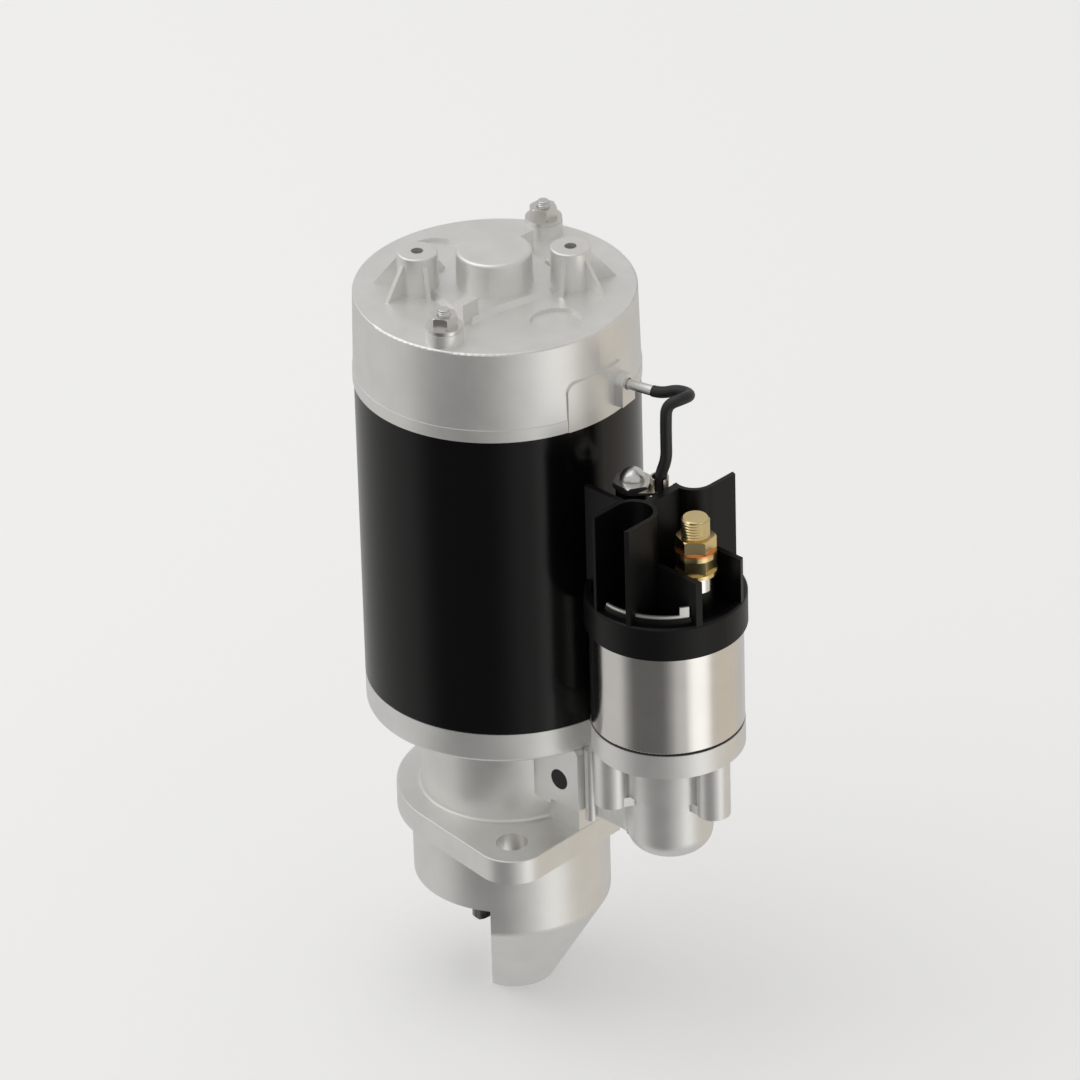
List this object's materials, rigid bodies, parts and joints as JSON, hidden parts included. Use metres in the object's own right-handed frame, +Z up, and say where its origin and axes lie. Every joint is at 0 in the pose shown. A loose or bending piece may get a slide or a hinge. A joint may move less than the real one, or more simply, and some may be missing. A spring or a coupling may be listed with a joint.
{
  "type": "starter motor",
  "caption": "Permanent-magnet starter motor with a flanged open-nose drive end, black yoke, cast end cover and a side solenoid with a two-stud cap.",
  "frame": {"origin": "centre of the locating pilot, in the plane of the mounting face", "axes": "+Z up the motor's axis to the commutator end, +X towards the solenoid, +Y across, right-handed"},
  "size_m": [0.1828, 0.117, 0.3418],
  "materials": {
    "core_steel": "laminated, oxidised",
    "shaft_steel": "ground",
    "winding_copper": "varnished copper",
    "stud_brass": "zinc-yellow thread",
    "plate_steel": "pressed, satin",
    "tin_plate": "tinned",
    "holder_brass": "pressed, satin",
    "spring_steel": "satin",
    "brush_carbon": "matt carbon and copper",
    "bar_copper": "plain copper",
    "gear_steel": "hardened, dark",
    "dark_resin": "moulded",
    "bright_copper": "bright copper",
    "zinc_steel": "zinc plated, dull",
    "cast_aluminium": "die cast, satin",
    "tube_brass": "drawn",
    "lug_copper": "tinned copper",
    "nut_brass": "zinc-yellow",
    "ferrite": "matt ferrite",
    "sintered_bronze": "sintered bronze",
    "lead_jacket": "black sleeve",
    "black_rubber": "moulded",
    "plunger_steel": "turned, plated",
    "pale_nylon": "moulded",
    "lever_nylon": "moulded, glass filled",
    "can_steel": "drawn, bright plated",
    "black_moulding": "moulded, satin",
    "black_paint": "glossy black"
  },
  "bodies": {
    "frame": {"battery_stud": "stud_brass", "bearing_plate": "plate_steel", "blade_terminal": "tin_plate", "brush_holders": "holder_brass", "brush_plate": "plate_steel", "brush_springs": "spring_steel", "brushes": "brush_carbon", "bus_strip": "bar_copper", "copper_washer": "bright_copper", "dome_nut": "zinc_steel", "drive_housing": "cast_aluminium", "end_cover": "cast_aluminium", "guide_tube": "tube_brass", "lead_lug": "lug_copper", "lower_nut": "nut_brass", "magnet_clips": "spring_steel", "magnets": "ferrite", "middle_bush": "sintered_bronze", "motor_lead": "lead_jacket", "motor_stud": "zinc_steel", "nose_bush": "sintered_bronze", "pivot_pin": "shaft_steel", "pivot_plugs": "black_rubber", "plate_screws": "zinc_steel", "rear_bush": "sintered_bronze", "solenoid_bobbin": "pale_nylon", "solenoid_can": "can_steel", "solenoid_cap": "black_moulding", "solenoid_coil": "winding_copper", "solenoid_core": "plate_steel", "solenoid_gasket": "black_rubber", "solenoid_screws": "zinc_steel", "steel_washer": "nut_brass", "terminal_grommet": "black_rubber", "terminal_rod": "tin_plate", "terminal_spacer": "zinc_steel", "through_nuts": "zinc_steel", "through_studs": "zinc_steel", "upper_nut": "nut_brass", "yoke": "black_paint"},
    "armature": {"armature_shaft": "shaft_steel", "armature_core": "core_steel", "armature_windings": "winding_copper", "commutator": "bar_copper", "commutator_hub": "dark_resin", "stop_collar": "shaft_steel"},
    "drive": {"clutch_shell": "gear_steel", "clutch_cover": "plate_steel", "clutch_rollers": "shaft_steel", "shift_collar": "pale_nylon", "collar_ring": "spring_steel", "mesh_spring": "spring_steel"},
    "pinion": {"pinion": "gear_steel"},
    "lever": {"shift_lever": "lever_nylon"},
    "plunger": {"plunger": "plunger_steel", "spring_collar": "plate_steel", "return_spring": "spring_steel"},
    "contact": {"contact_rod": "plate_steel", "contact_disc": "bar_copper", "contact_spring": "spring_steel"}
  },
  "joints": [
    {"name": "armature_spin", "type": "hinge", "parent": "frame", "child": "armature", "pos_m": [0, 0, 0], "axis": [0, 0, 1], "continuous": true},
    {"name": "drive_slide", "type": "slide", "parent": "armature", "child": "drive", "axis": [0, 0, -1], "range_m": [0, 0.01401]},
    {"name": "pinion_overrun", "type": "hinge", "parent": "drive", "child": "pinion", "pos_m": [0, 0, 0], "axis": [0, 0, 1], "continuous": true},
    {"name": "lever_tilt", "type": "hinge", "parent": "frame", "child": "lever", "pos_m": [0.0463, 0, 0.0364], "axis": [0, -1, 0], "range_deg": [0, 17.4]},
    {"name": "plunger_slide", "type": "slide", "parent": "frame", "child": "plunger", "axis": [0, 0, 1], "range_m": [0, 0.0136], "deforming": ["return_spring"]},
    {"name": "contact_slide", "type": "slide", "parent": "frame", "child": "contact", "axis": [0, 0, 1], "range_m": [0, 0.003], "deforming": ["contact_spring"]}
  ],
  "couplings": [
    {"joint": "drive_slide", "follows": "plunger_slide", "ratio": 1.0299},
    {"joint": "lever_tilt", "follows": "plunger_slide", "rad_per_m": 22.33},
    {"joint": "contact_slide", "follows": "plunger_slide", "ratio": 0.22059}
  ]
}
